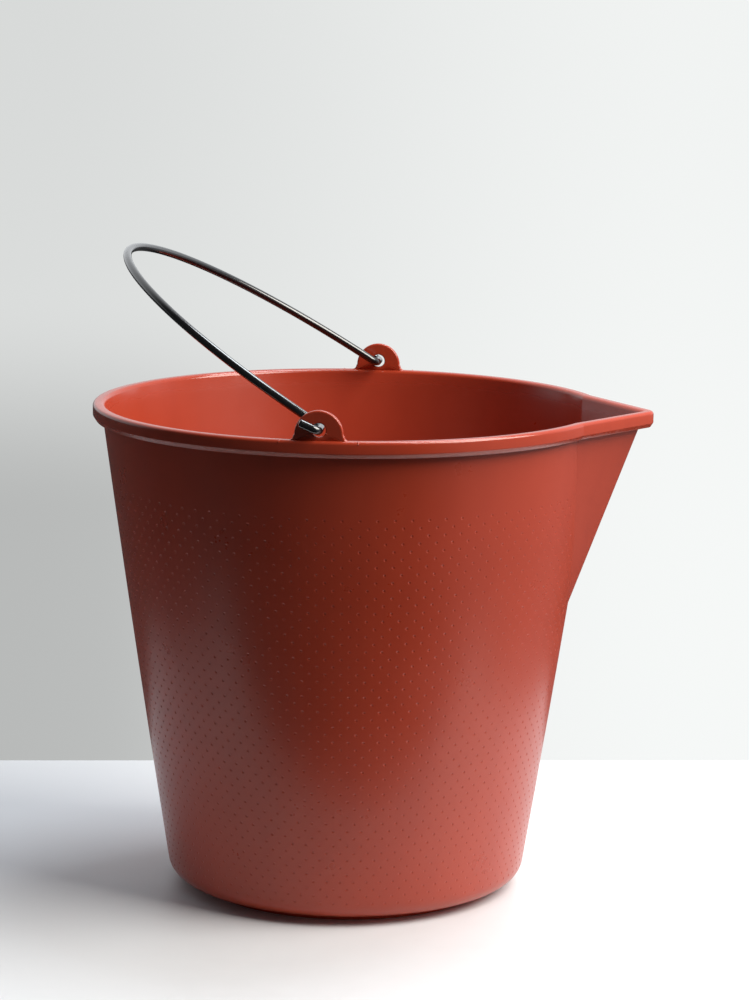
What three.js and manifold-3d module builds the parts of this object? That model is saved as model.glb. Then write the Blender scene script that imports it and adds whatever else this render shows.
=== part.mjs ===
// Florist bucket: one moulded polypropylene bucket with a pouring spout and two ears,
// and a plastic-coated steel wire bail whose hooked ends swing in the ears' holes.
// Millimetres, +Z up, +X towards the spout. The origin is on the bucket's axis, on the resting plane.

import * as THREE from 'three';
import { mergeVertices } from 'three/addons/utils/BufferGeometryUtils.js';
import Module from 'manifold-3d';

const wasm = await Module();
wasm.setup();

// Bucket body
const HEIGHT = 286;            // resting plane to the rim's top face
const BASE_RADIUS = 103.4;     // the wall's outer face carried down to the resting plane
const WALL_SLOPE = 0.1467;     // outward draft, mm of radius per mm of height
const WALL_BOW = 0.8;          // how far the wall swells outwards at mid height
const WALL = 2.2;              // wall thickness
const FLOOR = 2.4;             // floor thickness
const FOOT_RADIUS = 88.5;      // the stepped foot that the bucket rests on
const FOOT_HEIGHT = 4.5;
const FOOT_EDGE = 1;           // chamfer round the foot
const CORNER_RADIUS = 11;      // rounded corner between the wall and the foot

// Rim
const RIM_OVERHANG = 4.6;      // the skirt's outer face, out from the wall's top
const RIM_DEPTH = 9.3;         // height of the skirt
const RIM_EDGE = 1.5;          // rounding of the skirt's edges
const SKIRT = 2.2;             // thickness of the skirt and of the rim's top

// Spout, a three-sided trough that widens upwards from a point on the wall
const SPOUT_FRONT = 171.4;     // its front edge at the rim, outer face
const SPOUT_TIP_RADIUS = 5;    // rounding of that front edge
const SPOUT_KINK = 22.5;       // angle from +X where its sides leave the round wall, degrees
const SPOUT_POINT_X = 126.6;   // the point that its three faces run down to
const SPOUT_POINT_Z = 164;
const SPOUT_LOWEST_Z = 166.5;  // where the trough is cut off, inside the wall
const SPOUT_FULLNESS = 0.6;    // below 1, the sides stay wide further down than a straight taper would

// Ears, on the rim's top face at +Y and -Y
const EAR_INNER_Y = 144.2;
const EAR_THICKNESS = 3.2;
const EAR_RADIUS = 13.4;
const EAR_ARC_Z = 3;           // centre of the ear's round top, above the rim
const EAR_HALF_BASE = 13.9;
const EAR_FILLET = 2.5;
const EAR_ROOT = 1.5;          // how far the ear runs down into the rim
const HOLE_RADIUS = 3.9;
const HOLE_Z = 5.6;            // centre of the hole, above the rim

// Bail
const WIRE_RADIUS = 2.35;      // outside of the coating
const COATING_BORE = 1.85;
const CORE_RADIUS = 1.5;
const BAIL_REACH = 152.9;      // hinge axis to the middle of the bow, wire's centre line
const BAIL_HALF_WIDTH = 134.2;
const BAIL_TILT = 32;          // how far the resting bail stands above level, towards -X, degrees
const INNER_BEND = 6;          // centre-line radius of the bend inside the ear
const OUTER_BEND = 3.1;        // centre-line radius of the bend outside the ear
const STUB_GAP = 0.5;          // ear's outer face to the folded-back end
const STUB_LENGTH = 7.7;       // straight length of the folded-back end
const STUB_DROOP = 9;          // the folded-back end lies this much lower than the bow, degrees
const CORE_STICK_OUT = 0.3;    // bare steel beyond the coating at each cut end

// Fineness
const ROUND_STEPS = 72;        // facets round the bucket
const RIM_STEPS = 63;          // facets round the rim, from one side of the spout to the other
const EDGE_STEPS = 3;
const WALL_STEPS = 5;
const CORNER_STEPS = 5;
const TIP_STEPS = 6;
const SPOUT_STEPS = 8;
const EAR_STEPS = 18;
const FILLET_STEPS = 4;
const HOLE_STEPS = 24;
const BOW_STEPS = 44;
const BEND_STEPS = 5;
const WIRE_SIDES = 10;
const CUT_MARGIN = 2;          // how far a cutting solid runs past the face that it opens
const MERGE_DISTANCE = 1e-4;   // corners closer than this are one
const ROUNDING = 1e-9;

const TERRACOTTA = { color: 0xa8432d, roughness: 0.42, metalness: 0 };
const BLACK_COATING = { color: 0x0b0b0c, roughness: 0.22, metalness: 0 };
const BARE_STEEL = { color: 0x9a9a98, roughness: 0.35, metalness: 1 };

const radians = THREE.MathUtils.degToRad;

// A closed geometry as a solid that can be joined and cut
function solidOf(geometry) {
  const bare = new THREE.BufferGeometry();
  bare.setAttribute('position', geometry.getAttribute('position'));
  if (geometry.index) bare.setIndex(geometry.index);
  const merged = mergeVertices(bare, MERGE_DISTANCE);
  const vertProperties = new Float32Array(merged.getAttribute('position').array);
  const triVerts = new Uint32Array(merged.index.array);
  return new wasm.Manifold(new wasm.Mesh({ numProp: 3, vertProperties, triVerts }));
}

function geometryOf(solid) {
  const mesh = solid.getMesh();
  const geometry = new THREE.BufferGeometry();
  geometry.setAttribute('position', new THREE.BufferAttribute(new Float32Array(mesh.vertProperties), 3));
  geometry.setIndex(new THREE.BufferAttribute(new Uint32Array(mesh.triVerts), 1));
  geometry.computeVertexNormals();
  return geometry;
}

function namedMesh(name, geometry, look) {
  const mesh = new THREE.Mesh(geometry, new THREE.MeshStandardMaterial(look));
  mesh.name = name;
  return mesh;
}

// Points along an arc from one angle to another, both ends included
function arcPoints(x, y, radius, from, to, steps) {
  const points = [];
  for (let i = 0; i <= steps; i += 1) {
    const angle = from + (to - from) * i / steps;
    points.push(new THREE.Vector2(x + radius * Math.cos(angle), y + radius * Math.sin(angle)));
  }
  return points;
}

// The wall's outer radius at a height
function wallRadius(z) {
  const t = z / HEIGHT;
  return BASE_RADIUS + WALL_SLOPE * z + WALL_BOW * 4 * t * (1 - t);
}

// Radius and height points of the bucket's skin, drawn in by `inset`, from the axis at the foot up to `top`
function skinProfile(inset, floorZ, top) {
  const cornerRadius = CORNER_RADIUS - inset;
  const cornerZ = FOOT_HEIGHT + CORNER_RADIUS;
  const lean = Math.atan(WALL_SLOPE + WALL_BOW * 4 / HEIGHT);
  const wallStart = cornerZ - cornerRadius * Math.sin(lean);
  const cornerX = wallRadius(wallStart) - inset - cornerRadius * Math.cos(lean);
  const footRadius = FOOT_RADIUS - inset;
  const corner = arcPoints(cornerX, cornerZ, cornerRadius, -Math.PI / 2, -lean, CORNER_STEPS);
  const wall = [];
  for (let i = 1; i <= WALL_STEPS; i += 1) {
    const z = wallStart + (top - wallStart) * i / WALL_STEPS;
    wall.push(new THREE.Vector2(wallRadius(z) - inset, z));
  }
  return [
    new THREE.Vector2(0, floorZ),
    new THREE.Vector2(footRadius - FOOT_EDGE, floorZ),
    new THREE.Vector2(footRadius, floorZ + FOOT_EDGE),
    new THREE.Vector2(footRadius, FOOT_HEIGHT + inset),
    ...corner,
    ...wall,
    new THREE.Vector2(0, top),
  ];
}

function turned(profile) {
  return solidOf(new THREE.LatheGeometry(profile, ROUND_STEPS).rotateX(Math.PI / 2));
}

// Direction, in plan, that the spout's +Y side faces
function spoutSideAngle() {
  const kink = new THREE.Vector2(wallRadius(HEIGHT), 0).rotateAround(new THREE.Vector2(), radians(SPOUT_KINK));
  const toKink = kink.sub(new THREE.Vector2(SPOUT_FRONT - SPOUT_TIP_RADIUS, 0));
  return toKink.angle() - Math.acos(SPOUT_TIP_RADIUS / toKink.length());
}

// The spout's outline in plan at the rim, moved outwards by `offset`, from its tip back to x = `back`
function spoutOutline(offset, back) {
  const side = spoutSideAngle();
  const tip = arcPoints(SPOUT_FRONT - SPOUT_TIP_RADIUS, 0, SPOUT_TIP_RADIUS + offset, -side, side, TIP_STEPS);
  const start = tip[TIP_STEPS];
  const reach = (start.x - back) / Math.sin(side);
  const rear = new THREE.Vector2(back, start.y + reach * Math.cos(side));
  return [...tip, rear, new THREE.Vector2(back, -rear.y)];
}

// The whole rim's outline in plan, moved outwards by `offset` from the wall's top
function rimOutline(offset) {
  const radius = wallRadius(HEIGHT) + offset;
  const side = spoutSideAngle();
  const tip = arcPoints(SPOUT_FRONT - SPOUT_TIP_RADIUS, 0, SPOUT_TIP_RADIUS + offset, -side, side, TIP_STEPS);
  const start = tip[TIP_STEPS];
  const along = new THREE.Vector2(-Math.sin(side), Math.cos(side));
  const dot = start.dot(along);
  const reach = -dot - Math.sqrt(dot * dot - start.lengthSq() + radius * radius);
  const kink = start.clone().addScaledVector(along, reach).angle();
  const round = arcPoints(0, 0, radius, kink, 2 * Math.PI - kink, RIM_STEPS);
  return [...tip, ...round];
}

function extruded(points, bottom, top, edge = 0) {
  const options = {
    depth: top - bottom - 2 * edge,
    bevelEnabled: edge > 0,
    bevelThickness: edge,
    bevelSize: edge,
    bevelOffset: -edge,
    bevelSegments: EDGE_STEPS,
  };
  return solidOf(new THREE.ExtrudeGeometry(new THREE.Shape(points), options).translate(0, 0, bottom + edge));
}

// The spout's solid: its plan outline at the rim, drawn down to a point level by level
function spoutSolid(offset, top) {
  const pointX = SPOUT_POINT_X + offset;
  const shape = new THREE.Shape(spoutOutline(offset, pointX));
  const geometry = new THREE.ExtrudeGeometry(shape, { depth: 1, steps: SPOUT_STEPS, bevelEnabled: false });
  const position = geometry.getAttribute('position');
  for (let i = 0; i < position.count; i += 1) {
    const z = THREE.MathUtils.lerp(SPOUT_LOWEST_Z, top, position.getZ(i));
    const scale = (z - SPOUT_POINT_Z) / (HEIGHT - SPOUT_POINT_Z);
    const x = pointX + (position.getX(i) - pointX) * scale;
    position.setXYZ(i, x, position.getY(i) * scale ** SPOUT_FULLNESS, z);
  }
  return solidOf(geometry);
}

// One ear with its hole, standing on the rim at +Y, or at -Y when `side` is -1
function earSolid(side) {
  const shape = new THREE.Shape([
    new THREE.Vector2(-EAR_HALF_BASE - EAR_FILLET, -EAR_ROOT),
    new THREE.Vector2(EAR_HALF_BASE + EAR_FILLET, -EAR_ROOT),
    ...arcPoints(EAR_HALF_BASE + EAR_FILLET, EAR_FILLET, EAR_FILLET, -Math.PI / 2, -Math.PI, FILLET_STEPS),
    ...arcPoints(0, EAR_ARC_Z, EAR_RADIUS, 0, Math.PI, EAR_STEPS),
    ...arcPoints(-EAR_HALF_BASE - EAR_FILLET, EAR_FILLET, EAR_FILLET, 0, -Math.PI / 2, FILLET_STEPS),
  ]);
  shape.holes.push(new THREE.Path(arcPoints(0, HOLE_Z, HOLE_RADIUS, 0, 2 * Math.PI, HOLE_STEPS).slice(1)));
  const geometry = new THREE.ExtrudeGeometry(shape, { depth: EAR_THICKNESS, bevelEnabled: false });
  geometry.rotateX(Math.PI / 2);
  const outerY = side > 0 ? EAR_INNER_Y + EAR_THICKNESS : -EAR_INNER_Y;
  return solidOf(geometry.translate(0, outerY, HEIGHT));
}

function bucketShell() {
  const rimBottom = HEIGHT - RIM_DEPTH;
  const rim = extruded(rimOutline(RIM_OVERHANG), rimBottom, HEIGHT, RIM_EDGE)
    .subtract(extruded(rimOutline(RIM_OVERHANG - SKIRT), rimBottom - CUT_MARGIN, HEIGHT - SKIRT));
  const hollowTop = HEIGHT + CUT_MARGIN;
  const body = turned(skinProfile(0, 0, HEIGHT))
    .add(spoutSolid(0, HEIGHT))
    .add(rim)
    .subtract(turned(skinProfile(WALL, FLOOR, hollowTop)))
    .subtract(spoutSolid(-WALL, hollowTop));
  return body.add(earSolid(1)).add(earSolid(-1));
}

// A path through a list of points, with one sweep step from each point to the next
class PointPath extends THREE.Curve {
  constructor(points) {
    super();
    this.points = points;
  }

  getPoint(t, target = new THREE.Vector3()) {
    const last = this.points.length - 1;
    const place = t * last;
    const index = Math.min(Math.floor(place + ROUNDING), last - 1);
    return target.lerpVectors(this.points[index], this.points[index + 1], place - index);
  }

  getPointAt(t, target) {
    return this.getPoint(t, target);
  }

  getTangentAt(t, target = new THREE.Vector3()) {
    const last = this.points.length - 1;
    const index = Math.round(t * last);
    const before = this.points[Math.max(index - 1, 0)];
    const after = this.points[Math.min(index + 1, last)];
    return target.subVectors(after, before).normalize();
  }
}

// The wire's centre line from the middle of the bow to the cut end at +Y.
// In the bail's own frame the hinge axis is Y and the bow lies level towards -X.
function halfBail(extra) {
  const stubY = EAR_INNER_Y + EAR_THICKNESS + STUB_GAP + WIRE_RADIUS;
  const points = [];
  const bendStart = Math.asin(INNER_BEND / BAIL_REACH);
  for (let i = 0; i <= BOW_STEPS / 2; i += 1) {
    const angle = Math.PI / 2 + (bendStart - Math.PI / 2) * i / (BOW_STEPS / 2);
    points.push(new THREE.Vector3(-BAIL_REACH * Math.sin(angle), BAIL_HALF_WIDTH * Math.cos(angle), 0));
  }
  const bendY = points[points.length - 1].y + INNER_BEND;
  for (const p of arcPoints(-INNER_BEND, bendY, INNER_BEND, -Math.PI / 2, 0, BEND_STEPS).slice(1)) {
    points.push(new THREE.Vector3(p.x, p.y, 0));
  }
  const droop = radians(STUB_DROOP);
  const stub = arcPoints(-OUTER_BEND, stubY - OUTER_BEND, OUTER_BEND, 0, Math.PI / 2, BEND_STEPS);
  stub.push(new THREE.Vector2(-OUTER_BEND - STUB_LENGTH - extra, stubY));
  for (const p of stub) {
    points.push(new THREE.Vector3(p.x * Math.cos(droop), p.y, p.x * Math.sin(droop)));
  }
  return points;
}

function bailPath(extra) {
  const half = halfBail(extra);
  const mirrored = half.slice(1).reverse().map((p) => new THREE.Vector3(p.x, -p.y, p.z));
  return new PointPath([...mirrored, ...half]);
}

function wireSection(radius, bore) {
  const section = new THREE.Shape(arcPoints(0, 0, radius, 0, 2 * Math.PI, WIRE_SIDES).slice(1));
  if (bore > 0) {
    section.holes.push(new THREE.Path(arcPoints(0, 0, bore, 0, 2 * Math.PI, WIRE_SIDES).slice(1)));
  }
  return section;
}

function wire(radius, bore, extra) {
  const extrudePath = bailPath(extra);
  const steps = extrudePath.points.length - 1;
  return new THREE.ExtrudeGeometry(wireSection(radius, bore), { steps, extrudePath });
}

const bail = new THREE.Group();
bail.add(namedMesh('bail_coating', wire(WIRE_RADIUS, COATING_BORE, 0), BLACK_COATING));
bail.add(namedMesh('bail_core', wire(CORE_RADIUS, 0, CORE_STICK_OUT), BARE_STEEL));
bail.position.z = HEIGHT + HOLE_Z;
bail.rotation.y = radians(BAIL_TILT);

const bucket = new THREE.Group();
bucket.add(namedMesh('bucket_shell', geometryOf(bucketShell()), TERRACOTTA));
bucket.add(bail);

export default bucket;
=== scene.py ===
"""Looks of the florist bucket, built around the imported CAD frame.

The bucket's lengths are in millimetres until a mesh is made. The table's and the lights' are in metres.
"""

import math

import bmesh
import bpy
import numpy as np
from mathutils import Matrix, Vector
from mathutils.geometry import delaunay_2d_cdt


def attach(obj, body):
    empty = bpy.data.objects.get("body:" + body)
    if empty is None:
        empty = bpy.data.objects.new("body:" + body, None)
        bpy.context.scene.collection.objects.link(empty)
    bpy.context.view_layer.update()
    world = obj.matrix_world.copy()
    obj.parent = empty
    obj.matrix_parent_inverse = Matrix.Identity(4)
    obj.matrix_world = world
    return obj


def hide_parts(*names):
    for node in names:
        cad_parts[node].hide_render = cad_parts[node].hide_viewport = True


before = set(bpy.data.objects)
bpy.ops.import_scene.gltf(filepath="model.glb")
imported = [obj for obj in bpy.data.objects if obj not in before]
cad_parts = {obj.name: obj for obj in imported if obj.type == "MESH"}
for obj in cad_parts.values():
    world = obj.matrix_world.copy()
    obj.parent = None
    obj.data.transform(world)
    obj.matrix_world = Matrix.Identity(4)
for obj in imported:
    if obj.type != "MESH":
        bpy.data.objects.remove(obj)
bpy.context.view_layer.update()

MM = 0.001

# Bucket body, as in the CAD
HEIGHT = 286.0
BASE_RADIUS = 103.4
WALL_SLOPE = 0.1467
WALL_BOW = 0.8
WALL = 2.2
FLOOR = 2.4
FOOT_RADIUS = 88.5
FOOT_HEIGHT = 4.5
CORNER_RADIUS = 11.0
CORNER_Z = FOOT_HEIGHT + CORNER_RADIUS
CORNER_LEAN = math.atan(WALL_SLOPE + WALL_BOW * 4 / HEIGHT)

# Rim and spout, as in the CAD
RIM_OVERHANG = 4.6
RIM_DEPTH = 9.3
SKIRT = 2.2
SPOUT_FRONT = 171.4
SPOUT_TIP_RADIUS = 5.0
SPOUT_KINK = math.radians(22.5)
SPOUT_POINT_X = 126.6
SPOUT_POINT_Z = 164.0
SPOUT_FULLNESS = 0.6

# Ears, as in the CAD
EAR_INNER_Y = 144.2
EAR_THICKNESS = 3.2
EAR_RADIUS = 13.4
EAR_ARC_Z = 3.0
EAR_HALF_BASE = 13.9
EAR_FILLET = 2.5
EAR_ROOT = 1.5
HOLE_RADIUS = 3.9
HOLE_Z = 5.6

# Bail, as in the CAD
WIRE_RADIUS = 2.35
CORE_RADIUS = 1.5
BAIL_REACH = 152.9
BAIL_HALF_WIDTH = 134.2
BAIL_TILT = math.radians(32)
INNER_BEND = 6.0
OUTER_BEND = 3.1
STUB_GAP = 0.5
STUB_START = 1.0
STUB_LENGTH = 7.7
STUB_DROOP = math.radians(9)
CORE_STICK_OUT = 0.3

# Moulded dimples: staggered rows on a lattice of cells, two cells to a dimple along each row.
# The bottom is a share of the dimple's radius.
COLUMNS = 180
COLUMN = 2 * math.pi / COLUMNS
DIMPLE_ROWS = 52
ROW_PITCH = 4.43
TOP_ROW_Z = 240.7
DIMPLE_RADIUS = 0.9
DIMPLE_DEPTH = 0.25
DIMPLE_BOTTOM = 0.45

# Softened edges that the CAD leaves sharp, with the lip's slope in degrees
RIM_INNER_ROUND = 2.2
RIM_OUTER_ROUND = 1.9
LIP_SHOULDER = 0.8
LIP_FOOT = 0.35
LIP_SLOPE = 33
CHANNEL_ROUND = 0.8
EAR_ROUND = 1.0
HOLE_ROUND = 0.5
LEDGE_ROUND = 1.0
FLOOR_ROUND = 1.2
COATING_END_ROUND = 0.3
CORE_END_ROUND = 0.2

# The flat strip beside an ear's rounded edges, and the gap between the wire and its coating
FLAT_STRIP = 0.3
BORE_CLEARANCE = 0.05

# Hair-thin ridges over the rim's outer edge beside the ears
MARK_ANGLE = math.radians(8.3)
MARK_WIDTH = 1.1
MARK_HEIGHT = 0.35
MARK_REACH = 1.6
MARK_ROOT = 0.4

# The underside, which the CAD leaves flat
FOOT_EDGE = 1.0
FOOT_CHAMFER = 0.6
FOOT_BAND = 5.0
BAND_ROUND = 0.4
BAND_SLOPE = 1.2
UNDERSIDE_Z = 0.8
DISH_RADII = (48.0, 24.0, 10.0)
GATE_RECESS_RADIUS = 7.2
GATE_RECESS_DEPTH = 0.4
GATE_RADIUS = 4.0
GATE_MARK_RADII = (3.2, 0.8)
GATE_MARK_DEPTH = 0.2

# Rows and columns of the meshes
BAND_ROWS = 6
CORNER_ROWS = 6
INSIDE_ROWS = 30
SPOUT_LEVELS = 40
SPOUT_LEVEL_BIAS = 1.6
SPOUT_ARC_STEPS = 5
SPOUT_SIDE_STEPS = 6
SPOUT_ARC_SHARE = 0.6
SPOUT_COLUMNS = 2 * (SPOUT_ARC_STEPS + SPOUT_SIDE_STEPS)
KINK_COLUMN = 12
ROUND_COLUMNS = range(KINK_COLUMN, COLUMNS - KINK_COLUMN + 1)
FLOOR_SHARES = (0.75, 0.5, 0.25, 0.05)
BOW_STEPS = 120
BEND_STEPS = 14
WIRE_SIDES = 24

# Limits of the searches for the spout's crease, and of the triangles filled in beside it
BISECTIONS = 50
SPOUT_SEARCH = 100.0
LEAST_SCALE = 1e-6
CREASE_MARGIN = COLUMN / 4
APEX_MARGIN = 1.0
FILL_TOLERANCE = 1e-5

# The photograph's camera, which stands round from -Y towards +X
CAMERA_AZIMUTH = math.radians(6.7)
CAMERA_DISTANCE = 1812.7
CAMERA_HEIGHT = 548.9
CAMERA_PITCH = 0.1751
CAMERA_PAN = 0.0080
CAMERA_ROLL = 0.0132
CAMERA_LENS = 113.02

# The board that the bucket stands on: how far it reaches each way from the bucket's axis, in metres
TABLE_LEFT = 0.46
TABLE_RIGHT = 0.38
TABLE_FRONT = 0.24
TABLE_BACK = 0.273
TABLE_THICKNESS = 0.03
TABLE_EDGE = 0.006
TABLE_TURN = math.radians(2.5)

# A map range node's inputs, in the order that its four numbers are given in here
RANGE_SOCKETS = ("From Min", "From Max", "To Min", "To Max")

# Colours, as linear red, green and blue
TERRACOTTA_DEEP = (0.36, 0.040, 0.016)
TERRACOTTA_PALE = (0.395, 0.045, 0.019)
TERRACOTTA_STREAK = (0.31, 0.031, 0.014)
TERRACOTTA_SCUFFED = (0.50, 0.13, 0.08)
COATING_BLACK = (0.006, 0.006, 0.007)
COATING_RUBBED = (0.016, 0.016, 0.018)
STEEL_DARK = (0.42, 0.42, 0.41)
STEEL_BRIGHT = (0.66, 0.66, 0.65)
TABLE_DARK = (0.74, 0.75, 0.78)
TABLE_BRIGHT = (0.77, 0.78, 0.81)
ROOM_COLOUR = (0.94, 0.97, 1.0)
BACKDROP_COLOUR = (0.98, 1.0, 0.99)

# How strongly the room glows: everywhere, behind the bucket, and on its bright side
ROOM_GLOW = 0.055
WALL_GLOW = 0.75
LIT_SIDE_GLOW = 0.4


# ---------------------------------------------------------------- shape functions

def wall_radius(z):
    """The wall's outer radius at a height."""
    t = z / HEIGHT
    return BASE_RADIUS + WALL_SLOPE * z + WALL_BOW * 4 * t * (1 - t)


def wall_start(inset):
    """The height at which the wall, drawn in by `inset`, rises from its rounded corner."""
    return CORNER_Z - (CORNER_RADIUS - inset) * math.sin(CORNER_LEAN)


def corner_middle(inset):
    """The distance from the axis to the middle of the rounded corner, drawn in by `inset`."""
    return wall_radius(wall_start(inset)) - inset - (CORNER_RADIUS - inset) * math.cos(CORNER_LEAN)


def skin_radius(z, inset=0.0):
    """The skin's radius at a height above the foot: the rounded corner, then the wall."""
    if z >= wall_start(inset):
        return wall_radius(z) - inset
    radius = CORNER_RADIUS - inset
    return corner_middle(inset) + math.sqrt(max(radius ** 2 - (z - CORNER_Z) ** 2, 0))


def side_angle():
    """Direction, in plan, that the spout's +Y side faces."""
    kink_x = wall_radius(HEIGHT) * math.cos(SPOUT_KINK) - (SPOUT_FRONT - SPOUT_TIP_RADIUS)
    kink_y = wall_radius(HEIGHT) * math.sin(SPOUT_KINK)
    return math.atan2(kink_y, kink_x) - math.acos(SPOUT_TIP_RADIUS / math.hypot(kink_x, kink_y))


SIDE = side_angle()


def spout_point(way, z, inset):
    """A point of the spout's +Y half at a height, `way` mm along its outline at the rim from the front."""
    radius = SPOUT_TIP_RADIUS - inset
    tip_arc = radius * SIDE
    angle = min(way, tip_arc) / radius
    x = SPOUT_FRONT - SPOUT_TIP_RADIUS + radius * math.cos(angle)
    y = radius * math.sin(angle)
    if way > tip_arc:
        x -= (way - tip_arc) * math.sin(SIDE)
        y += (way - tip_arc) * math.cos(SIDE)
    scale = max((z - SPOUT_POINT_Z) / (HEIGHT - SPOUT_POINT_Z), LEAST_SCALE)
    point_x = SPOUT_POINT_X - inset
    return point_x + (x - point_x) * scale, y * scale ** SPOUT_FULLNESS


def bisect(test, low, high):
    """The place between low, where the test holds, and high, where it doesn't, at which it changes."""
    for _ in range(BISECTIONS):
        middle = (low + high) / 2
        if test(middle):
            low = middle
        else:
            high = middle
    return low


def crease_way(z, inset):
    """How far round the spout's half outline it meets the round wall."""
    radius = wall_radius(z) - inset
    return bisect(lambda way: math.hypot(*spout_point(way, z, inset)) > radius, 0, SPOUT_SEARCH)


def spout_apex(inset):
    """The height at which the spout's front leaves the wall."""
    return bisect(lambda z: spout_point(0, z, inset)[0] < wall_radius(z) - inset, SPOUT_POINT_Z, HEIGHT)


def crease_angle(z, inset):
    """The angle from +X of the crease between the spout and the wall, 0 below the spout."""
    if z <= spout_apex(inset):
        return 0.0
    x, y = spout_point(crease_way(z, inset), z, inset)
    return math.atan2(y, x)


def spout_section(z, inset):
    """Points across the spout at a height, from the crease at -Y round to the one at +Y."""
    if z <= spout_apex(inset):
        return [(wall_radius(z) - inset, 0.0)] * (SPOUT_COLUMNS + 1)
    tip_arc = (SPOUT_TIP_RADIUS - inset) * SIDE
    reach = crease_way(z, inset)
    turn = min(tip_arc, reach * SPOUT_ARC_SHARE)
    ways = between(0, turn, SPOUT_ARC_STEPS) + between(turn, reach, SPOUT_SIDE_STEPS)[1:]
    half = [spout_point(way, z, inset) for way in ways]
    return [(x, -y) for x, y in reversed(half[1:])] + half


def between(low, high, count):
    """Evenly spaced numbers from low to high, both included."""
    return [low + (high - low) * i / count for i in range(count + 1)]


def arc(centre_x, centre_z, radius, start, end, steps):
    """Points along an arc; angles are in degrees."""
    angles = [math.radians(a) for a in between(start, end, steps)]
    return [(centre_x + radius * math.cos(a), centre_z + radius * math.sin(a)) for a in angles]


# ---------------------------------------------------------------- mesh building

class Skin:
    """Faces collected by corner position, in millimetres: equal corners are one vertex."""

    def __init__(self):
        self.index = {}
        self.vertices = []
        self.faces = []
        self.sharp = set()

    def corner(self, point):
        """The number of the vertex at a point."""
        key = (round(point[0], 3), round(point[1], 3), round(point[2], 3))
        if key not in self.index:
            self.index[key] = len(self.vertices)
            self.vertices.append(tuple(c * MM for c in point))
        return self.index[key]

    def face(self, *points):
        """One face through the points, left out if fewer than three of them differ."""
        corners = list(dict.fromkeys(self.corner(p) for p in points))
        if len(corners) > 2:
            self.faces.append(corners)

    def strip(self, low, high, closed):
        """Quads between two equally long rows of points."""
        for i in range(len(low) - (0 if closed else 1)):
            j = (i + 1) % len(low)
            self.face(low[i], low[j], high[j], high[i])

    def sheet(self, rows, closed=True):
        """Quads between each row of points and the next."""
        for low, high in zip(rows, rows[1:]):
            self.strip(low, high, closed)

    def sharpen(self, points, closed=False):
        """The edges along a row of points stay sharp."""
        corners = [self.corner(p) for p in points]
        if closed:
            corners.append(corners[0])
        self.sharp.update((min(a, b), max(a, b)) for a, b in zip(corners, corners[1:]))

    def mesh(self, name):
        """A smooth-shaded Blender mesh of the faces, but for the edges that stay sharp."""
        mesh = bpy.data.meshes.new(name)
        mesh.from_pydata(self.vertices, [], self.faces)
        mesh.shade_smooth()
        ends = np.empty(len(mesh.edges) * 2, dtype=np.int32)
        mesh.edges.foreach_get("vertices", ends)
        pairs = np.sort(ends.reshape(-1, 2), axis=1).tolist()
        sharp_edge = mesh.attributes.new("sharp_edge", "BOOLEAN", "EDGE")
        sharp_edge.data.foreach_set("value", [tuple(pair) in self.sharp for pair in pairs])
        return mesh


def new_object(name, mesh, material):
    """An object at the origin with one material."""
    obj = bpy.data.objects.new(name, mesh)
    bpy.context.scene.collection.objects.link(obj)
    obj.data.materials.append(material)
    return obj


def on_skin(angle, z, inset=0.0):
    """A point of the skin above the foot, at an angle from +X."""
    radius = skin_radius(z, inset)
    return (radius * math.cos(angle), radius * math.sin(angle), z)


# ---------------------------------------------------------------- the wall and its dimples

def dimple(skin, column, low, high):
    """One lattice cell with a round dent in the middle."""
    left = column * COLUMN
    right = left + COLUMN
    middle = left + COLUMN / 2
    z = (low + high) / 2
    corners = [on_skin(a, h) for a, h in ((left, low), (right, low), (right, high), (left, high))]

    def circle(sides, share, depth):
        """Points round the dent, at a share of its radius and a depth."""
        points = []
        for i in range(sides):
            turn = 2 * math.pi * i / sides - 3 * math.pi / 4
            across = DIMPLE_RADIUS * share * math.cos(turn) / skin_radius(z)
            points.append(on_skin(middle + across, z + DIMPLE_RADIUS * share * math.sin(turn), depth))
        return points

    edge = circle(8, 1, 0)
    bottom = circle(4, DIMPLE_BOTTOM, DIMPLE_DEPTH)
    for side in range(4):
        here = corners[side]
        there = corners[(side + 1) % 4]
        near, half_way, far = (edge[(2 * side + k) % 8] for k in range(3))
        skin.face(here, there, half_way)
        skin.face(here, half_way, near)
        skin.face(there, far, half_way)
        left_low, right_low = bottom[side], bottom[(side + 1) % 4]
        skin.face(near, half_way, left_low)
        skin.face(half_way, far, right_low)
        skin.face(half_way, right_low, left_low)
    skin.face(*bottom)
    skin.sharpen(edge, closed=True)


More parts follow.
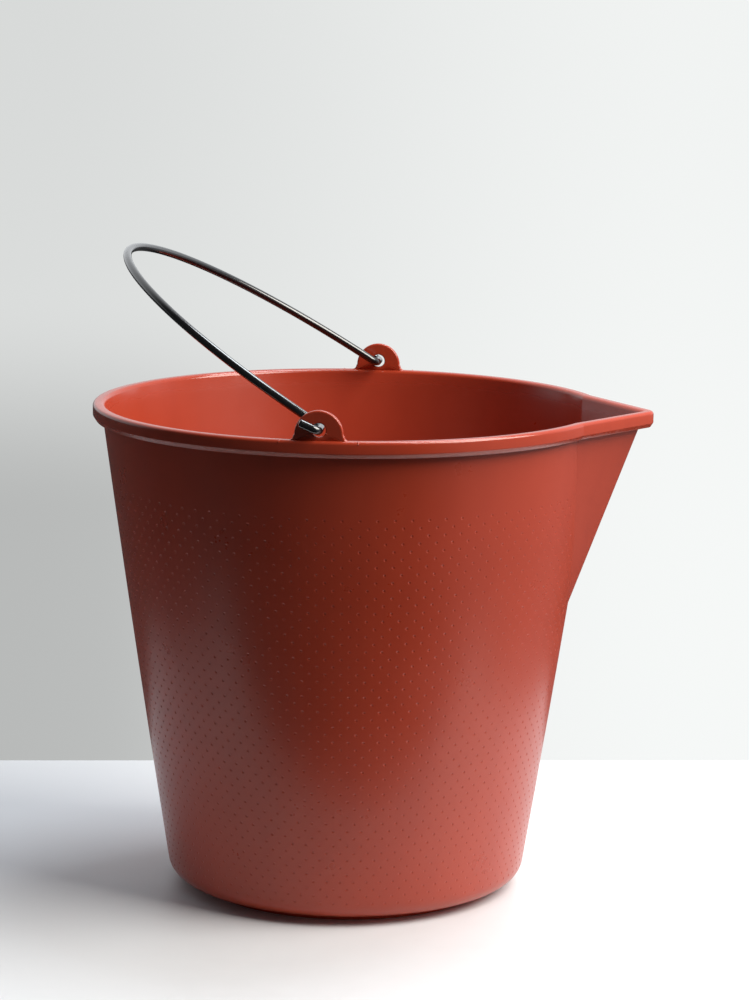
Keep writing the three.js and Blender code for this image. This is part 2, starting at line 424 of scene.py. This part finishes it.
def outer_wall(skin, top):
    """The wall's dimpled outside with the spout let into it, from the rounded corner up to `top`."""
    lattice_top = TOP_ROW_Z + ROW_PITCH / 2
    heights = [lattice_top - ROW_PITCH * i for i in range(DIMPLE_ROWS, -1, -1)]
    heights += between(lattice_top, top, BAND_ROWS)[1:]
    apex = spout_apex(0)
    removed = []
    for row, (low, high) in enumerate(zip(heights, heights[1:])):
        # Cells nearer to +X than this are left out for the spout
        gap = crease_angle(high, 0) + CREASE_MARGIN if high > apex - APEX_MARGIN else -1
        for column in range(-COLUMNS // 2, COLUMNS // 2):
            if min(abs(column), abs(column + 1)) * COLUMN < gap:
                removed.append((row, column))
            elif row < DIMPLE_ROWS and (column + row) % 2 == 0:
                dimple(skin, column, low, high)
            else:
                left = column * COLUMN
                right = left + COLUMN
                corners = ((left, low), (right, low), (right, high), (left, high))
                skin.face(*(on_skin(a, z) for a, z in corners))
    levels = [apex + (top - apex) * share ** SPOUT_LEVEL_BIAS for share in between(0, 1, SPOUT_LEVELS)]
    fill_beside_spout(skin, removed, heights, levels)
    rows = [[(x, y, z) for x, y in spout_section(z, 0)] for z in levels]
    skin.sheet(rows, closed=False)
    skin.sharpen([row[0] for row in rows])
    skin.sharpen([row[-1] for row in rows])
    return heights[0]


def fill_beside_spout(skin, removed, heights, levels):
    """Triangles between the spout's creases and the stepped edge of the cells left out round it."""
    edges = set()
    for row, column in removed:
        loop = ((row, column), (row, column + 1), (row + 1, column + 1), (row + 1, column))
        edges.update(zip(loop, loop[1:] + loop[:1]))
    top_row = len(heights) - 1
    border = [(a, b) for a, b in edges if (b, a) not in edges and not a[0] == b[0] == top_row]
    scale = wall_radius(TOP_ROW_Z)
    points = []
    places = {}

    def place(angle, z):
        """The number of a point on the unrolled wall."""
        key = (round(angle * scale, 4), round(z, 4))
        if key not in places:
            places[key] = len(points)
            points.append(Vector((angle * scale, z)))
        return places[key]

    fixed = [[place(column * COLUMN, heights[row]) for row, column in edge] for edge in border]
    for sign in (-1, 1):
        crease = [place(sign * crease_angle(z, 0), z) for z in levels]
        crease.append(place(sign * KINK_COLUMN * COLUMN, heights[-1]))
        fixed += [[a, b] for a, b in zip(crease, crease[1:]) if a != b]
    coords, _, faces, _, _, _ = delaunay_2d_cdt(points, fixed, [], 0, FILL_TOLERANCE)
    left_out = set(removed)
    for face in faces:
        angle = sum(coords[i].x for i in face) / 3 / scale
        z = sum(coords[i].y for i in face) / 3
        row = int(np.searchsorted(heights, z)) - 1
        if (row, math.floor(angle / COLUMN)) in left_out and abs(angle) > crease_angle(z, 0):
            skin.face(*(on_skin(coords[i].x / scale, coords[i].y) for i in face))


# ---------------------------------------------------------------- rim, inside, foot

def inner_row(z, radius=None):
    """Points round the inside at a height, the spout's first, or a plain ring if a radius is given."""
    crease = crease_angle(z, WALL)
    top_crease = crease_angle(HEIGHT - RIM_INNER_ROUND, WALL)
    if radius is None:
        row = [(x, y, z) for x, y in spout_section(z, WALL)]
        radius = skin_radius(z, WALL)
    else:
        row = [(radius, 0.0, z)] * (SPOUT_COLUMNS + 1)
    for column in ROUND_COLUMNS:
        share = (column * COLUMN - math.pi) / (math.pi - top_crease)
        angle = math.pi + share * (math.pi - crease)
        row.append((radius * math.cos(angle), radius * math.sin(angle), z))
    return row


def rim_row(offset, z):
    """Points round the rim, `offset` outside the wall, or outside its top where `offset` isn't negative."""
    level = z if offset < 0 else HEIGHT
    row = [(x, y, z) for x, y in spout_section(level, -offset)]
    radius = wall_radius(level) + offset
    for column in ROUND_COLUMNS:
        row.append((radius * math.cos(column * COLUMN), radius * math.sin(column * COLUMN), z))
    return row


def rim_profile():
    """Offset and height points over the rim, from its inner edge to the top of the channel under it."""
    bottom = HEIGHT - RIM_DEPTH
    under = RIM_OVERHANG - SKIRT
    inner = arc(RIM_INNER_ROUND - WALL, HEIGHT - RIM_INNER_ROUND, RIM_INNER_ROUND, 180, 90, 5)[1:]
    outer = arc(RIM_OVERHANG - RIM_OUTER_ROUND, HEIGHT - RIM_OUTER_ROUND, RIM_OUTER_ROUND, 90, 0, 6)
    shoulder = RIM_OVERHANG - LIP_SHOULDER
    foot = under + LIP_FOOT
    slope = math.radians(LIP_SLOPE)
    rise = ((shoulder - foot) * math.cos(slope) + LIP_SHOULDER - LIP_FOOT) / math.sin(slope)
    lip = arc(shoulder, bottom + LIP_FOOT + rise, LIP_SHOULDER, 0, -LIP_SLOPE, 3)
    lip += arc(foot, bottom + LIP_FOOT, LIP_FOOT, -LIP_SLOPE, -180, 5)
    channel = arc(under - CHANNEL_ROUND, HEIGHT - SKIRT - CHANNEL_ROUND, CHANNEL_ROUND, 0, 90, 3)
    return inner + outer + lip + channel


def inner_profile():
    """Radius and height points inside: round the corner, then down the step to the middle of the floor."""
    step = FOOT_RADIUS - WALL
    ledge = FOOT_HEIGHT + WALL
    lean = math.degrees(CORNER_LEAN)
    corner = arc(corner_middle(WALL), CORNER_Z, CORNER_RADIUS - WALL, -lean, -90, CORNER_ROWS)
    drop = arc(step + LEDGE_ROUND, ledge - LEDGE_ROUND, LEDGE_ROUND, 90, 180, 3)
    drop += arc(step - FLOOR_ROUND, FLOOR + FLOOR_ROUND, FLOOR_ROUND, 0, -90, 3)
    return corner, drop + [(step * share, FLOOR) for share in FLOOR_SHARES]


def outer_foot(skin, top):
    """The rounded corner below the dimples, the stepped foot and the underside."""
    start = -math.degrees(math.asin((CORNER_Z - top) / CORNER_RADIUS))
    profile = arc(corner_middle(0), CORNER_Z, CORNER_RADIUS, start, -90, CORNER_ROWS)
    profile[0] = (skin_radius(top), top)
    profile.append((FOOT_RADIUS + FOOT_CHAMFER, FOOT_HEIGHT))
    profile.append((FOOT_RADIUS, FOOT_HEIGHT - FOOT_CHAMFER))
    profile += arc(FOOT_RADIUS - FOOT_EDGE, FOOT_EDGE, FOOT_EDGE, 0, -90, 3)
    profile += arc(FOOT_RADIUS - FOOT_BAND, BAND_ROUND, BAND_ROUND, -90, -180, 2)
    profile.append((FOOT_RADIUS - FOOT_BAND - BAND_SLOPE, UNDERSIDE_Z))
    profile += [(radius, UNDERSIDE_Z) for radius in DISH_RADII]
    profile += [(radius, UNDERSIDE_Z + GATE_RECESS_DEPTH) for radius in (GATE_RECESS_RADIUS, GATE_RADIUS)]
    profile += [(radius, UNDERSIDE_Z - GATE_MARK_DEPTH) for radius in GATE_MARK_RADII]
    rings = [[(r * math.cos(i * COLUMN), r * math.sin(i * COLUMN), z) for i in range(COLUMNS)]
             for r, z in profile]
    skin.sheet([list(reversed(ring)) for ring in rings])
    skin.face(*reversed(rings[-1]))


def rim_and_inside(skin, wall_top):
    """One sheet from the middle of the floor, up the inside and over the rim to the wall's top."""
    rows = [inner_row(z) for z in between(wall_start(WALL), HEIGHT - RIM_INNER_ROUND, INSIDE_ROWS)]
    corner, floor = inner_profile()
    below = [inner_row(z, r) for r, z in reversed(floor)]
    below += [inner_row(z, r) for r, z in reversed(corner[1:])]
    rim = [rim_row(offset, z) for offset, z in rim_profile()]
    last = [(x, y, wall_top) for x, y in spout_section(wall_top, 0)]
    last += [on_skin(column * COLUMN, wall_top) for column in ROUND_COLUMNS]
    everything = below + rows + rim + [last]
    skin.sheet([list(reversed(row)) for row in everything])
    skin.face(*below[0])
    for crease in (0, SPOUT_COLUMNS):
        skin.sharpen([row[crease] for row in rows + rim + [last]])


# ---------------------------------------------------------------- ears and witness marks

def ear_outline(inset):
    """Points round the ear, drawn in by `inset`: across beside the hinge line, and height above the rim."""
    foot = EAR_HALF_BASE + EAR_FILLET
    points = [(x, -EAR_ROOT) for x in between(-foot, foot, 10)]
    points += arc(foot, EAR_FILLET, EAR_FILLET + inset, -90, -180, 5)
    points += arc(0, EAR_ARC_Z, EAR_RADIUS - inset, 0, 180, 32)
    points += arc(-foot, EAR_FILLET, EAR_FILLET + inset, 0, -90, 5)
    return points


def hole_outline(radius):
    """Points round the ear's hole, one for each point of the ear's outline."""
    turns = [math.atan2(z - HOLE_Z, x) for x, z in ear_outline(0)]
    return [(radius * math.cos(t), HOLE_Z + radius * math.sin(t)) for t in turns]


def ear(skin, side):
    """One ear, standing on the rim at +Y, or at -Y when `side` is -1."""
    face = EAR_THICKNESS / 2
    half = [(hole_outline(HOLE_RADIUS + x), face + y)
            for x, y in arc(HOLE_ROUND, -HOLE_ROUND, HOLE_ROUND, 180, 90, 3)]
    half.append((hole_outline(HOLE_RADIUS + HOLE_ROUND + FLAT_STRIP), face))
    half.append((ear_outline(EAR_ROUND + FLAT_STRIP), face))
    half += [(ear_outline(-x), face + y) for x, y in arc(-EAR_ROUND, -EAR_ROUND, EAR_ROUND, 90, 0, 5)]
    loops = half + [(outline, -y) for outline, y in reversed(half)]
    middle = EAR_INNER_Y + EAR_THICKNESS / 2
    rows = [[(x, side * (middle + y), HEIGHT + z) for x, z in outline] for outline, y in loops]
    rows.append(rows[0])
    skin.sheet(rows if side < 0 else [list(reversed(row)) for row in rows])


def witness_mark(skin, angle):
    """A hair-thin ridge over the rim's outer edge, where two halves of the mould met."""
    middle_r = wall_radius(HEIGHT) + RIM_OVERHANG - RIM_OUTER_ROUND
    middle_z = HEIGHT - RIM_OUTER_ROUND
    places = [(middle_r - MARK_REACH, 90), *((middle_r, tilt) for tilt in between(90, 0, 6))]
    sunk = -MARK_HEIGHT / 2
    rows = []
    for i, (centre, tilt) in enumerate(places):
        lift = MARK_HEIGHT if 0 < i < len(places) - 1 else sunk
        turn = MARK_WIDTH / 2 / centre
        row = []
        for out, across in ((sunk, -turn), (lift, 0), (sunk, turn), (-MARK_ROOT, 0)):
            radius = centre + (RIM_OUTER_ROUND + out) * math.cos(math.radians(tilt))
            z = middle_z + (RIM_OUTER_ROUND + out) * math.sin(math.radians(tilt))
            row.append((radius * math.cos(angle + across), radius * math.sin(angle + across), z))
        rows.append(row)
    skin.sheet(rows)
    skin.face(*reversed(rows[0]))
    skin.face(*rows[-1])


def bucket_mesh():
    """The whole moulding: wall, foot, rim and inside, both ears and the four marks beside them."""
    skin = Skin()
    wall_top = HEIGHT - SKIRT
    wall_bottom = outer_wall(skin, wall_top)
    outer_foot(skin, wall_bottom)
    rim_and_inside(skin, wall_top)
    for side in (-1, 1):
        ear(skin, side)
        for turn in (-1, 1):
            witness_mark(skin, side * math.pi / 2 + turn * MARK_ANGLE)
    return skin.mesh("bucket_shell_skin")


# ---------------------------------------------------------------- bail

def half_bail(extra):
    """The wire's centre line from the middle of the bow to the cut end at +Y, the bow lying level."""
    stub_y = EAR_INNER_Y + EAR_THICKNESS + STUB_GAP + WIRE_RADIUS
    bend_start = math.asin(INNER_BEND / BAIL_REACH)
    points = [Vector((-BAIL_REACH * math.sin(a), BAIL_HALF_WIDTH * math.cos(a), 0))
              for a in between(math.pi / 2, bend_start, BOW_STEPS // 2)]
    bend_y = points[-1].y + INNER_BEND
    points += [Vector((x, y, 0)) for x, y in arc(-INNER_BEND, bend_y, INNER_BEND, -90, 0, BEND_STEPS)[1:]]
    stub = arc(-OUTER_BEND, stub_y - OUTER_BEND, OUTER_BEND, 0, 90, BEND_STEPS)
    stub += [(x, stub_y) for x in between(-OUTER_BEND - STUB_START, -OUTER_BEND - STUB_LENGTH - extra, 5)]
    points += [Vector((x * math.cos(STUB_DROOP), y, x * math.sin(STUB_DROOP))) for x, y in stub]
    return points


def bail_path(extra):
    """The whole centre line, in place on the bucket."""
    half = half_bail(extra)
    placed = Matrix.Translation((0, 0, HEIGHT + HOLE_Z)) @ Matrix.Rotation(BAIL_TILT, 4, "Y")
    return [placed @ Vector((p.x, -p.y, p.z)) for p in reversed(half[1:])] + [placed @ p for p in half]


def tube_rows(path, radii):
    """Rings of points along a path, one ring for each of its points and radii."""
    rows = []
    across = None
    for i, (point, radius) in enumerate(zip(path, radii)):
        ahead = (path[min(i + 1, len(path) - 1)] - path[max(i - 1, 0)]).normalized()
        if across is None:
            across = ahead.orthogonal()
        across = (across - ahead * across.dot(ahead)).normalized()
        side = ahead.cross(across)
        turns = [2 * math.pi * k / WIRE_SIDES for k in range(WIRE_SIDES)]
        rows.append([point + (across * math.cos(t) + side * math.sin(t)) * radius for t in turns])
    return rows


def softened(path, radius, edge):
    """The path with one more point near each end, and radii that round the ends off by `edge`."""
    first = path[0].lerp(path[1], edge / (path[1] - path[0]).length)
    last = path[-1].lerp(path[-2], edge / (path[-2] - path[-1]).length)
    longer = [path[0], first, *path[1:-1], last, path[-1]]
    return longer, [radius - edge] + [radius] * (len(longer) - 2) + [radius - edge]


def coating_mesh():
    """The plastic tube, open at both ends where the wire shows."""
    skin = Skin()
    path, radii = softened(bail_path(0), WIRE_RADIUS, COATING_END_ROUND)
    outside = tube_rows(path, radii)
    bore = tube_rows(path, [CORE_RADIUS + BORE_CLEARANCE] * len(path))
    skin.sheet(outside + list(reversed(bore)) + outside[:1])
    for rows in (outside, bore):
        for row in (rows[0], rows[-1]):
            skin.sharpen(row, closed=True)
    return skin.mesh("bail_coating_skin")


def core_mesh():
    """The steel wire inside, cropped off just beyond the coating."""
    skin = Skin()
    path, radii = softened(bail_path(CORE_STICK_OUT), CORE_RADIUS, CORE_END_ROUND)
    rows = tube_rows(path, radii)
    skin.sheet(rows)
    skin.face(*reversed(rows[0]))
    skin.face(*rows[-1])
    for row in rows[:2] + rows[-2:]:
        skin.sharpen(row, closed=True)
    return skin.mesh("bail_core_skin")


# ---------------------------------------------------------------- materials
# Noise scales are per metre. Ranges are given as: from low, from high, to low, to high.

class Look:
    """A node-based material under construction."""

    def __init__(self, name, **values):
        self.material = bpy.data.materials.new(name)
        self.material.use_nodes = True
        self.nodes = self.material.node_tree.nodes
        self.links = self.material.node_tree.links
        self.shader = self.nodes["Principled BSDF"]
        for socket, value in values.items():
            self.shader.inputs[socket.replace("_", " ")].default_value = value
        self.place = self.nodes.new("ShaderNodeTexCoord").outputs["Object"]

    def stretched(self, scale):
        """Object coordinates multiplied by three factors."""
        node = self.nodes.new("ShaderNodeMapping")
        node.inputs["Scale"].default_value = scale
        self.links.new(self.place, node.inputs["Vector"])
        return node.outputs["Vector"]

    def noise(self, scale, detail, roughness=0.5, vector=None):
        """Values of a noise texture, by default over the object coordinates."""
        node = self.nodes.new("ShaderNodeTexNoise")
        node.inputs["Scale"].default_value = scale
        node.inputs["Detail"].default_value = detail
        node.inputs["Roughness"].default_value = roughness
        self.links.new(vector or self.place, node.inputs["Vector"])
        return node.outputs["Fac"]

    def spread(self, value, low, high, to_low, to_high):
        """Maps a range of values to another, clamped."""
        node = self.nodes.new("ShaderNodeMapRange")
        for socket, number in zip(RANGE_SOCKETS, (low, high, to_low, to_high)):
            node.inputs[socket].default_value = number
        self.links.new(value, node.inputs["Value"])
        return node.outputs["Result"]

    def mixed(self, amount, first, second):
        """A colour between two, either of which may be a colour or a socket."""
        node = self.nodes.new("ShaderNodeMix")
        node.data_type = "RGBA"
        self.links.new(amount, node.inputs["Factor"])
        for socket, value in zip((node.inputs[6], node.inputs[7]), (first, second)):
            if isinstance(value, tuple):
                socket.default_value = (*value, 1)
            else:
                self.links.new(value, socket)
        return node.outputs[2]

    def combined(self, operation, first, second):
        """A sum on two values, either of which may be a number or a socket."""
        node = self.nodes.new("ShaderNodeMath")
        node.operation = operation
        for socket, value in zip(node.inputs, (first, second)):
            if isinstance(value, (int, float)):
                socket.default_value = value
            else:
                self.links.new(value, socket)
        return node.outputs[0]

    def height(self):
        """The point's height in the bucket's frame, in metres."""
        node = self.nodes.new("ShaderNodeSeparateXYZ")
        self.links.new(self.place, node.inputs[0])
        return node.outputs["Z"]

    def bump(self, *layers):
        """Stacks (height, distance in metres, strength) layers of bump into the shader's normal."""
        normal = None
        for height, distance, strength in layers:
            node = self.nodes.new("ShaderNodeBump")
            node.inputs["Distance"].default_value = distance
            node.inputs["Strength"].default_value = strength
            self.links.new(height, node.inputs["Height"])
            if normal:
                self.links.new(normal, node.inputs["Normal"])
            normal = node.outputs["Normal"]
        self.links.new(normal, self.shader.inputs["Normal"])

    def feed(self, socket, value):
        """Links a value to one of the shader's sockets."""
        self.links.new(value, self.shader.inputs[socket])


def terracotta():
    """Through-coloured polypropylene: satin, faintly mottled, scuffed where it is handled and stood."""
    look = Look("terracotta_polypropylene", IOR=1.52)
    cloud = look.noise(9, 3)
    streaks = look.noise(1, 2, vector=look.stretched((60, 60, 7)))
    colour = look.mixed(look.spread(cloud, 0.35, 0.65, 0, 1), TERRACOTTA_DEEP, TERRACOTTA_PALE)
    colour = look.mixed(look.spread(streaks, 0.45, 0.75, 0, 0.25), colour, TERRACOTTA_STREAK)
    scuffed = look.noise(1, 5, 0.75, look.stretched((260, 260, 90)))
    foot = look.spread(look.height(), 0.0015, 0.009, 1, 0)
    rim = look.spread(look.height(), HEIGHT * MM - 0.001, HEIGHT * MM + 0.0005, 0, 0.35)
    handled = look.combined("MAXIMUM", foot, rim)
    scuffs = look.combined("MULTIPLY", handled, look.spread(scuffed, 0.55, 0.72, 0, 0.5))
    look.feed("Base Color", look.mixed(scuffs, colour, TERRACOTTA_SCUFFED))
    polish = look.spread(look.height(), (HEIGHT - RIM_DEPTH) * MM, (HEIGHT - SKIRT) * MM, 0, -0.13)
    shine = look.combined("ADD", polish, look.spread(look.noise(38, 4, 0.6), 0.3, 0.7, 0.27, 0.33))
    look.feed("Roughness", look.combined("ADD", shine, look.combined("MULTIPLY", scuffs, 0.3)))
    grain = look.noise(2600, 2, 0.6)
    look.bump((cloud, 0.0012, 0.05), (grain, 0.00002, 0.3))
    return look.material


def black_coating():
    """Glossy extruded plastic with a clear skin, faint waviness and fine rubbed marks."""
    look = Look("black_coating", IOR=1.5, Coat_Weight=1.0, Coat_Roughness=0.08)
    rubbed = look.noise(420, 4, 0.7)
    look.feed("Base Color", look.mixed(look.spread(rubbed, 0.55, 0.8, 0, 1), COATING_BLACK, COATING_RUBBED))
    look.feed("Roughness", look.spread(rubbed, 0.3, 0.75, 0.13, 0.27))
    look.bump((look.noise(55, 2), 0.0006, 0.12), (look.noise(1500, 2), 0.00002, 0.25))
    return look.material


def bare_steel():
    """The wire's cropped ends: dull galvanised steel with a torn grain."""
    look = Look("bare_steel", Metallic=1.0)
    grain = look.noise(1, 3, 0.7, look.stretched((900, 900, 5200)))
    look.feed("Base Color", look.mixed(look.spread(grain, 0.3, 0.7, 0, 1), STEEL_DARK, STEEL_BRIGHT))
    look.feed("Roughness", look.spread(grain, 0.3, 0.7, 0.3, 0.5))
    look.bump((grain, 0.00006, 0.6))
    return look.material


def table_white():
    """A pale satin table top."""
    look = Look("table_white", IOR=1.45)
    fibres = look.noise(70, 4, 0.6)
    look.feed("Base Color", look.mixed(fibres, TABLE_DARK, TABLE_BRIGHT))
    look.feed("Roughness", look.spread(fibres, 0.3, 0.7, 0.42, 0.5))
    return look.material


# ---------------------------------------------------------------- stage, light, camera

def round_camera_side(x, y, z):
    """A place in metres given as right of, behind and above the bucket as the camera sees it."""
    turned = Matrix.Rotation(CAMERA_AZIMUTH, 3, "Z") @ Vector((x, y, 0))
    return Vector((turned.x, turned.y, z))


def table_top():
    """A pale board, turned a little from square to the camera."""
    mesh = bpy.data.meshes.new("table_top")
    shape = bmesh.new()
    bmesh.ops.create_cube(shape, size=1)
    size = (TABLE_LEFT + TABLE_RIGHT, TABLE_FRONT + TABLE_BACK, TABLE_THICKNESS)
    bmesh.ops.scale(shape, vec=size, verts=shape.verts)
    middle = ((TABLE_RIGHT - TABLE_LEFT) / 2, (TABLE_BACK - TABLE_FRONT) / 2, -TABLE_THICKNESS / 2)
    bmesh.ops.translate(shape, vec=middle, verts=shape.verts)
    bmesh.ops.bevel(shape, geom=shape.edges, offset=TABLE_EDGE, segments=5, affect="EDGES", profile=0.5)
    shape.to_mesh(mesh)
    shape.free()
    mesh.shade_smooth()
    top = new_object("table_top", mesh, table_white())
    top.rotation_euler.z = CAMERA_AZIMUTH + TABLE_TURN


def area_light(name, place, aim, size, power, colour):
    """A rectangular light; its place and aim are as the camera sees them."""
    data = bpy.data.lights.new(name, "AREA")
    data.shape = "RECTANGLE"
    data.size, data.size_y = size
    data.energy = power
    data.color = colour
    light = bpy.data.objects.new(name, data)
    light.location = round_camera_side(*place)
    light.rotation_euler = (round_camera_side(*aim) - light.location).to_track_quat("-Z", "Y").to_euler()
    bpy.context.scene.collection.objects.link(light)


def studio():
    """A pale backdrop for the camera, with painted light and a painted shadow on it, and a dim room with a
    bright side to light the bucket.
    """
    world = bpy.data.worlds.new("studio")
    bpy.context.scene.world = world
    world.use_nodes = True
    bpy.context.scene.view_settings.view_transform = "Standard"
    nodes = world.node_tree.nodes
    links = world.node_tree.links
    turned = nodes.new("ShaderNodeVectorRotate")
    turned.rotation_type = "Z_AXIS"
    turned.inputs["Angle"].default_value = -CAMERA_AZIMUTH
    links.new(nodes.new("ShaderNodeTexCoord").outputs["Generated"], turned.inputs["Vector"])
    parts = nodes.new("ShaderNodeSeparateXYZ")
    links.new(turned.outputs[0], parts.inputs[0])

    def ramp(axis, low, high, to_low, to_high):
        """A smooth change from one value to another as the direction looked in turns along an axis."""
        node = nodes.new("ShaderNodeMapRange")
        node.interpolation_type = "SMOOTHSTEP"
        for socket, number in zip(RANGE_SOCKETS, (low, high, to_low, to_high)):
            node.inputs[socket].default_value = number
        links.new(parts.outputs[axis], node.inputs["Value"])
        return node.outputs["Result"]

    def combined(operation, first, second):
        """A sum on two sockets."""
        node = nodes.new("ShaderNodeMath")
        node.operation = operation
        links.new(first, node.inputs[0])
        links.new(second, node.inputs[1])
        return node.outputs[0]

    room = nodes["Background"]
    room.inputs["Color"].default_value = (*ROOM_COLOUR, 1)
    wall_behind = combined("MULTIPLY", ramp("Y", 0.0, 0.5, 0, WALL_GLOW), ramp("Z", -0.1, 0.05, 0, 1))
    lit_side = ramp("X", 0.5, 0.9, ROOM_GLOW, LIT_SIDE_GLOW)
    lit_side = combined("MULTIPLY", lit_side, ramp("Z", -0.6, -0.42, 0.3, 1))
    links.new(combined("ADD", wall_behind, lit_side), room.inputs["Strength"])
    backdrop = nodes.new("ShaderNodeBackground")
    backdrop.inputs["Color"].default_value = (*BACKDROP_COLOUR, 1)
    # The backdrop's painted shadow lies low on its left. Its painted light makes it brighter towards the
    # right and a little brighter lower down.
    shadow = combined("MULTIPLY", ramp("X", -0.08, 0.02, 1, 0), ramp("Z", -0.18, -0.11, 1, 0))
    shadow = combined("MULTIPLY", shadow, ramp("Y", 0.9, 0.96, 0, -0.25))
    painted_backdrop_light = combined("ADD", ramp("X", -0.12, 0.12, 0.70, 0.90), ramp("Z", -0.22, -0.02, 0.04, 0))
    links.new(combined("ADD", painted_backdrop_light, shadow), backdrop.inputs["Strength"])
    path = nodes.new("ShaderNodeLightPath")
    seen = nodes.new("ShaderNodeMixShader")
    links.new(path.outputs["Is Camera Ray"], seen.inputs[0])
    links.new(room.outputs[0], seen.inputs[1])
    links.new(backdrop.outputs[0], seen.inputs[2])
    links.new(seen.outputs[0], nodes["World Output"].inputs["Surface"])
    area_light("window", place=(0.95, -0.4, 1.15), aim=(0, 0, 0.1), size=(1.0, 1.0),
               power=33, colour=(1.0, 0.97, 0.90))
    area_light("ceiling", place=(0.42, 0.4, 1.8), aim=(0, 0, 0.2), size=(0.7, 0.8),
               power=18, colour=(0.9, 0.96, 1.0))


def camera():
    """The photograph's camera, fitted to the rim, the base and the ears' holes."""
    data = bpy.data.cameras.new("photograph")
    data.lens = CAMERA_LENS
    view = bpy.data.objects.new("photograph", data)
    bpy.context.scene.collection.objects.link(view)
    ahead = Vector((math.sin(CAMERA_PAN) * math.cos(CAMERA_PITCH),
                    math.cos(CAMERA_PAN) * math.cos(CAMERA_PITCH), -math.sin(CAMERA_PITCH)))
    right = Vector((math.cos(CAMERA_PAN), -math.sin(CAMERA_PAN), 0))
    up = right.cross(ahead)
    rolled_right = right * math.cos(CAMERA_ROLL) + up * math.sin(CAMERA_ROLL)
    rolled_up = up * math.cos(CAMERA_ROLL) - right * math.sin(CAMERA_ROLL)
    axes = Matrix((rolled_right, rolled_up, -ahead)).transposed().to_4x4()
    place = Matrix.Translation((0, -CAMERA_DISTANCE * MM, CAMERA_HEIGHT * MM))
    view.matrix_world = Matrix.Rotation(CAMERA_AZIMUTH, 4, "Z") @ place @ axes
    bpy.context.scene.camera = view


# ---------------------------------------------------------------- the finished pieces

def piece(name, mesh, material, body, node):
    """A visible piece that rides on a body and stands for a CAD node."""
    obj = new_object(name, mesh, material)
    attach(obj, body)
    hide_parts(node)


camera()
table_top()
studio()
piece("bucket_shell_moulding", bucket_mesh(), terracotta(), "bucket", "bucket_shell")
piece("bail_coating_tube", coating_mesh(), black_coating(), "bail", "bail_coating")
piece("bail_core_wire", core_mesh(), bare_steel(), "bail", "bail_core")
